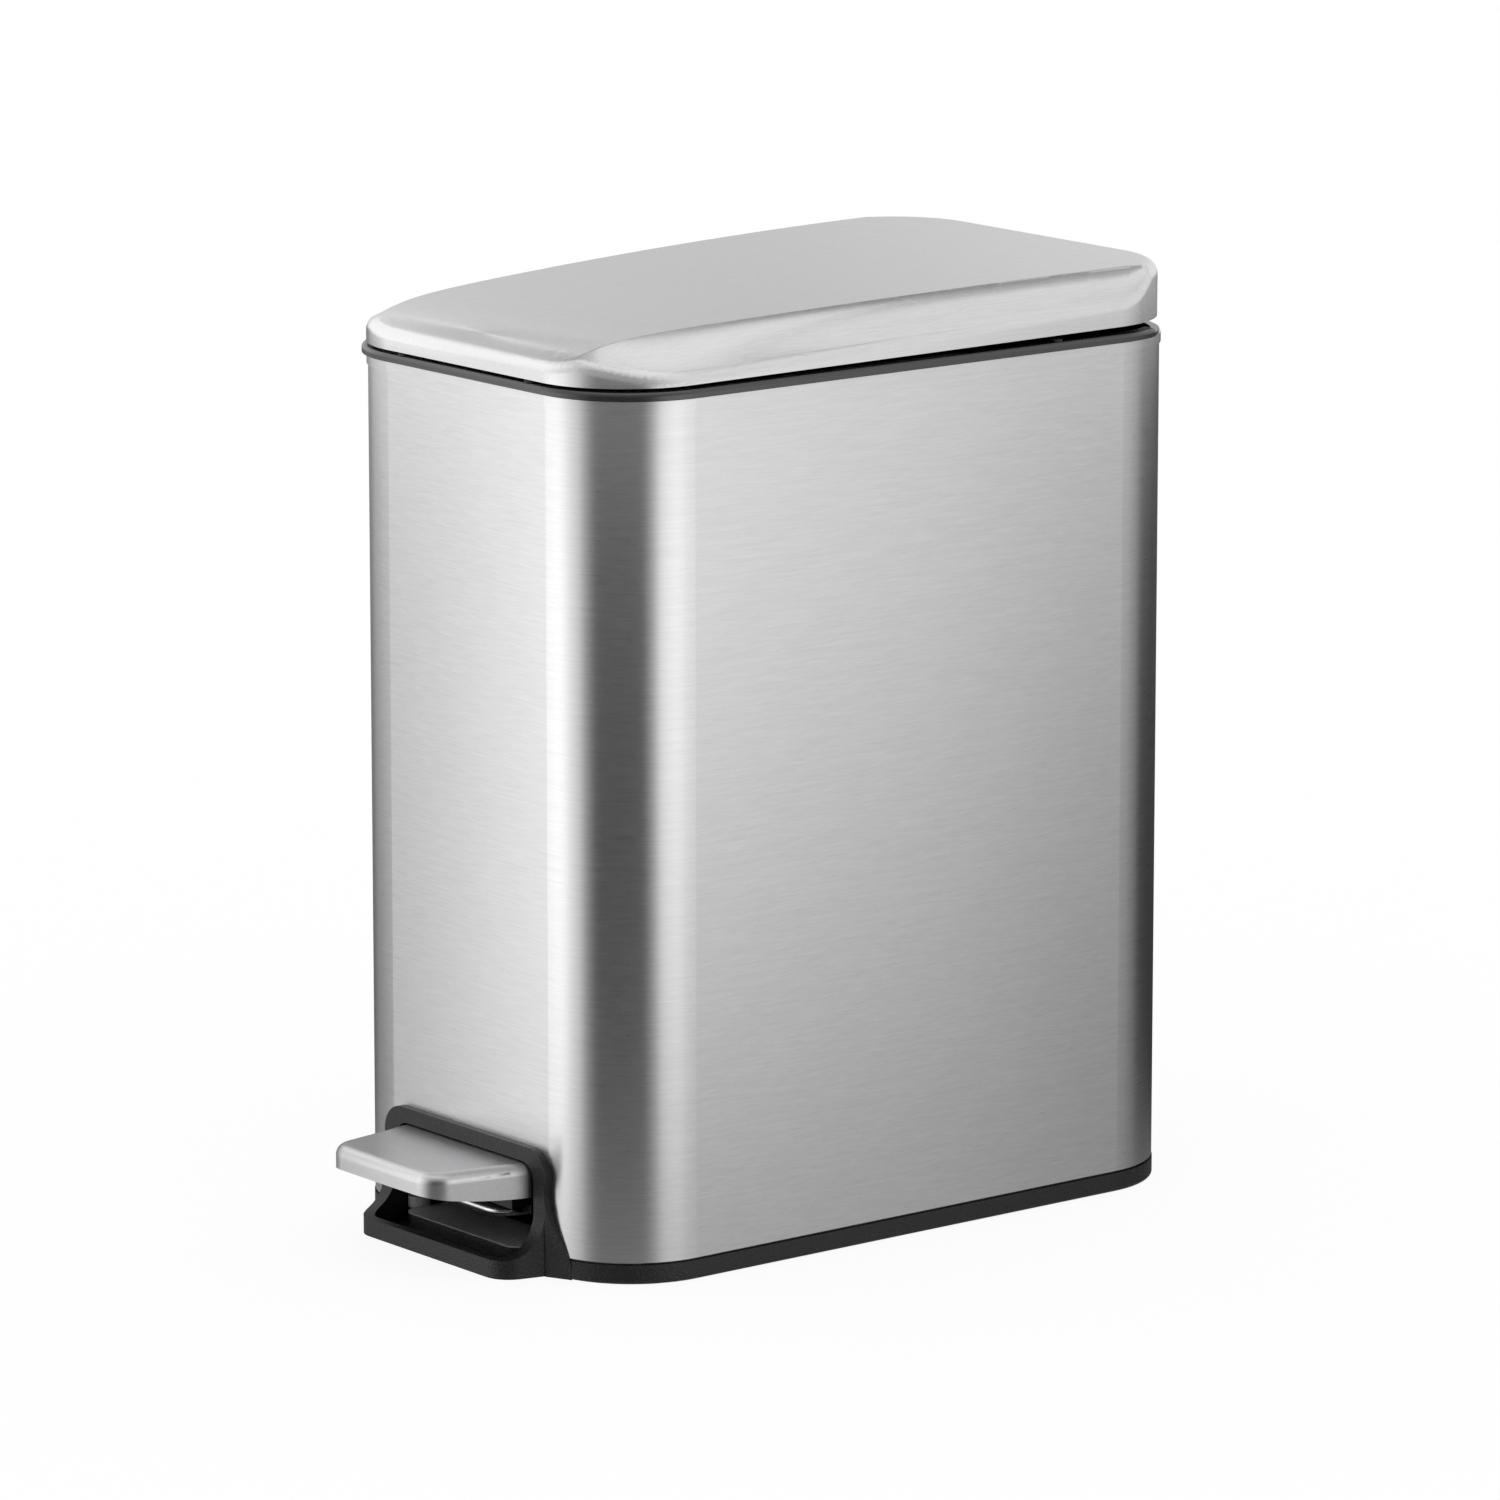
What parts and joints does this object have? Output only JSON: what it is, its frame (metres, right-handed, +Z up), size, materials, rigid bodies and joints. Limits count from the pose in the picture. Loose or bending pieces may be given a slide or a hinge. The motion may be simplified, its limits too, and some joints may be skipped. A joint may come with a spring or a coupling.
{
  "type": "slim pedal bin",
  "caption": "Slim rectangular pedal bin: steel sleeve on a moulded base, hinged lid opened by a front pedal through a lever and push rod, lift-out bucket.",
  "frame": {"origin": "on the floor, in the middle of the part's overall footprint, pedal included", "axes": "+Z up, -Y towards the pedal, +X to the right as seen from the pedal's side"},
  "size_m": [0.1524, 0.2774, 0.3035],
  "materials": {
    "brushed_steel": "brushed stainless sheet",
    "black_plastic": "fine textured moulding",
    "inner_steel": "plain sheet",
    "plated_steel": "bright plated wire and fasteners",
    "white_nylon": "natural nylon",
    "bucket_plastic": "satin moulding",
    "soft_rubber": "matt"
  },
  "bodies": {
    "bin_body": {"body_shell": "brushed_steel", "top_ring": "black_plastic", "base_tray": "black_plastic", "pedal_housing": "black_plastic", "housing_screws": "plated_steel", "rod_channel": "inner_steel", "channel_rivets": "inner_steel", "pivot_pin": "plated_steel", "pivot_clip": "plated_steel", "hinge_pin": "plated_steel", "lid_bumpers": "soft_rubber"},
    "pedal_lever": {"lever_wire": "plated_steel", "lever_rocker": "black_plastic", "pedal_cover": "brushed_steel", "pedal_core": "black_plastic", "core_screws": "plated_steel"},
    "rod": {"push_rod": "plated_steel", "rod_foot": "white_nylon", "rod_tip": "white_nylon"},
    "lid": {"lid_shell": "brushed_steel", "lid_liner": "black_plastic"},
    "bucket": {"inner_bucket": "bucket_plastic"},
    "bail": {"bail_handle": "plated_steel"}
  },
  "joints": [
    {"name": "lid_hinge", "type": "hinge", "parent": "bin_body", "child": "lid", "pos_m": [0, 0.13458, 0.283], "axis": [-1, 0, 0], "range_deg": [0, 80]},
    {"name": "rod_slide", "type": "slide", "parent": "bin_body", "child": "rod", "axis": [0, 0, 1], "range_m": [0, 0.01536]},
    {"name": "pedal_pivot", "type": "hinge", "parent": "bin_body", "child": "pedal_lever", "pos_m": [0, -0.03318, 0.0095], "axis": [1, 0, 0], "range_deg": [0, 5.62]},
    {"name": "bucket_lift", "type": "slide", "parent": "bin_body", "child": "bucket", "axis": [0, 0, 1], "range_m": [0, 0.004]},
    {"name": "bail_swing", "type": "hinge", "parent": "bucket", "child": "bail", "pos_m": [0, 0.00783, 0.264], "axis": [-1, 0, 0], "range_deg": [0, 5]}
  ],
  "couplings": [
    {"joint": "rod_slide", "follows": "lid_hinge", "m_per_rad": 0.011},
    {"joint": "pedal_pivot", "follows": "lid_hinge", "ratio": 0.070175}
  ]
}
